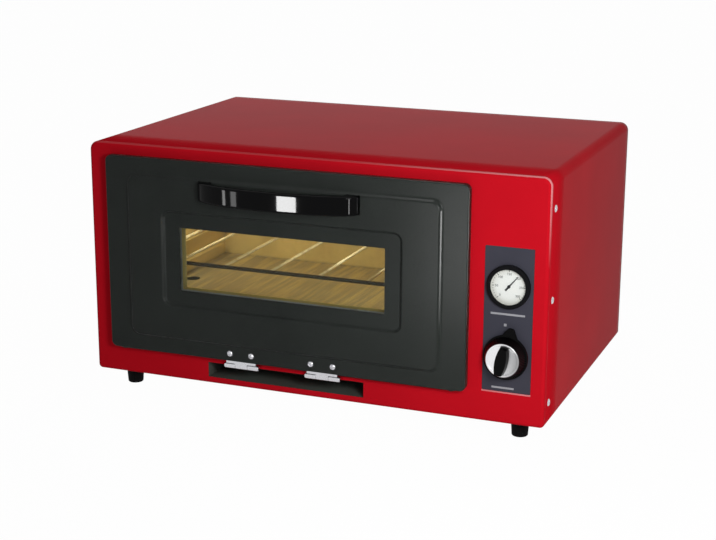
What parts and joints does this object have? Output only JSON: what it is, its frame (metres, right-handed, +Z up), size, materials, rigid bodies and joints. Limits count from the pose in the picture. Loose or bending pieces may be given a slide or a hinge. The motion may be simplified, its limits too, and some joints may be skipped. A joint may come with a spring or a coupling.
{
  "type": "portable gas oven",
  "caption": "Portable gas oven with a drop-down glazed door, bowed handle, wire shelf, thermometer and push-and-turn gas knob.",
  "frame": {"origin": "centre of the overall box, on the surface that the four feet stand on", "axes": "+X to the right seen from the front, +Y from the door to the rear panel, +Z up"},
  "size_m": [0.5532, 0.429, 0.2975],
  "materials": {
    "casing_paint": "gloss red paint",
    "galvanised_steel": "matt galvanised sheet",
    "foot_rubber": "matt black",
    "liner_steel": "aluminised sheet with a warm sheen",
    "mineral_wool": "pressed fibre board",
    "burner_steel": "satin stainless tube",
    "brass": "machined",
    "cast_aluminium": "die cast",
    "gas_pipe": "drawn tube",
    "zinc_steel": "bright zinc plate",
    "copper_capillary": "drawn tube",
    "electrode_ceramic": "glazed",
    "door_paint": "charcoal enamel",
    "panel_paint": "slate enamel",
    "window_glass": "clear toughened",
    "lens_glass": "clear",
    "black_handle": "gloss black moulding",
    "knob_silver": "satin ring",
    "bezel_black": "semi-gloss black",
    "dial_white": "printed white",
    "needle_black": "matt black",
    "seal_rubber": "matt silicone",
    "magnet": "magnet in a brown holder",
    "shelf_chrome": "bright plated wire"
  },
  "bodies": {
    "casing": {"base_plate": "galvanised_steel", "burner_brackets": "galvanised_steel", "burner_pan": "liner_steel", "burner_pipe": "gas_pipe", "burner_tube": "burner_steel", "casing_screws": "bezel_black", "control_plate": "panel_paint", "door_magnet": "magnet", "flame_sensor": "burner_steel", "floor_plate": "liner_steel", "flue_duct": "galvanised_steel", "foot_front_left": "foot_rubber", "foot_front_right": "foot_rubber", "foot_rear_left": "foot_rubber", "foot_rear_right": "foot_rubber", "front_fascia": "casing_paint", "gas_injector": "brass", "gas_inlet": "brass", "gas_valve_body": "cast_aluminium", "hinge_channel": "galvanised_steel", "hinge_frame_leaves": "zinc_steel", "hinge_frame_screws": "zinc_steel", "hinge_pins": "zinc_steel", "injector_bracket": "galvanised_steel", "inlet_nut": "brass", "inlet_pipe": "gas_pipe", "insulation_back": "mineral_wool", "insulation_left": "mineral_wool", "insulation_right": "mineral_wool", "insulation_top": "mineral_wool", "liner_back": "liner_steel", "liner_shell": "liner_steel", "outer_casing": "casing_paint", "rear_panel": "galvanised_steel", "return_spring": "zinc_steel", "shelf_runner_left": "liner_steel", "shelf_runner_right": "liner_steel", "spark_electrode": "electrode_ceramic", "thermometer_capillary": "copper_capillary", "thermometer_case": "bezel_black", "thermometer_dial": "dial_white", "thermometer_lens": "lens_glass", "valve_bracket": "galvanised_steel"},
    "door": {"door_outer_panel": "door_paint", "door_inner_panel": "liner_steel", "door_glass_outer": "window_glass", "door_glass_inner": "window_glass", "glass_retainer": "galvanised_steel", "door_seal": "seal_rubber", "door_handle": "black_handle", "handle_screws": "zinc_steel", "hinge_door_leaves": "zinc_steel", "hinge_door_screws": "zinc_steel"},
    "spring_seat": {"spring_seat": "zinc_steel"},
    "knob": {"control_knob": "black_handle", "knob_face": "knob_silver", "valve_spindle": "zinc_steel"},
    "needle": {"thermometer_needle": "needle_black"},
    "shelf": {"wire_shelf": "shelf_chrome"}
  },
  "joints": [
    {"name": "door_hinge", "type": "hinge", "parent": "casing", "child": "door", "pos_m": [-0.03, -0.1794, 0.0494], "axis": [1, 0, 0], "range_deg": [0, 90]},
    {"name": "knob_push", "type": "slide", "parent": "casing", "child": "spring_seat", "axis": [0, 1, 0], "range_m": [0, 0.0035], "stiffness_N_per_m": 800, "springref_m": -0.003, "deforming": ["return_spring"]},
    {"name": "knob_turn", "type": "hinge", "parent": "spring_seat", "child": "knob", "pos_m": [0.232, -0.18, 0.0995], "axis": [0, -1, 0], "range_deg": [0, 180]},
    {"name": "needle_turn", "type": "hinge", "parent": "casing", "child": "needle", "pos_m": [0.232, -0.17, 0.1765], "axis": [0, 1, 0], "range_deg": [-170, 95], "stiffness_Nm_per_rad": 0.0005},
    {"name": "shelf_slide", "type": "slide", "parent": "casing", "child": "shelf", "axis": [0, -1, 0], "range_m": [0, 0.014]}
  ]
}
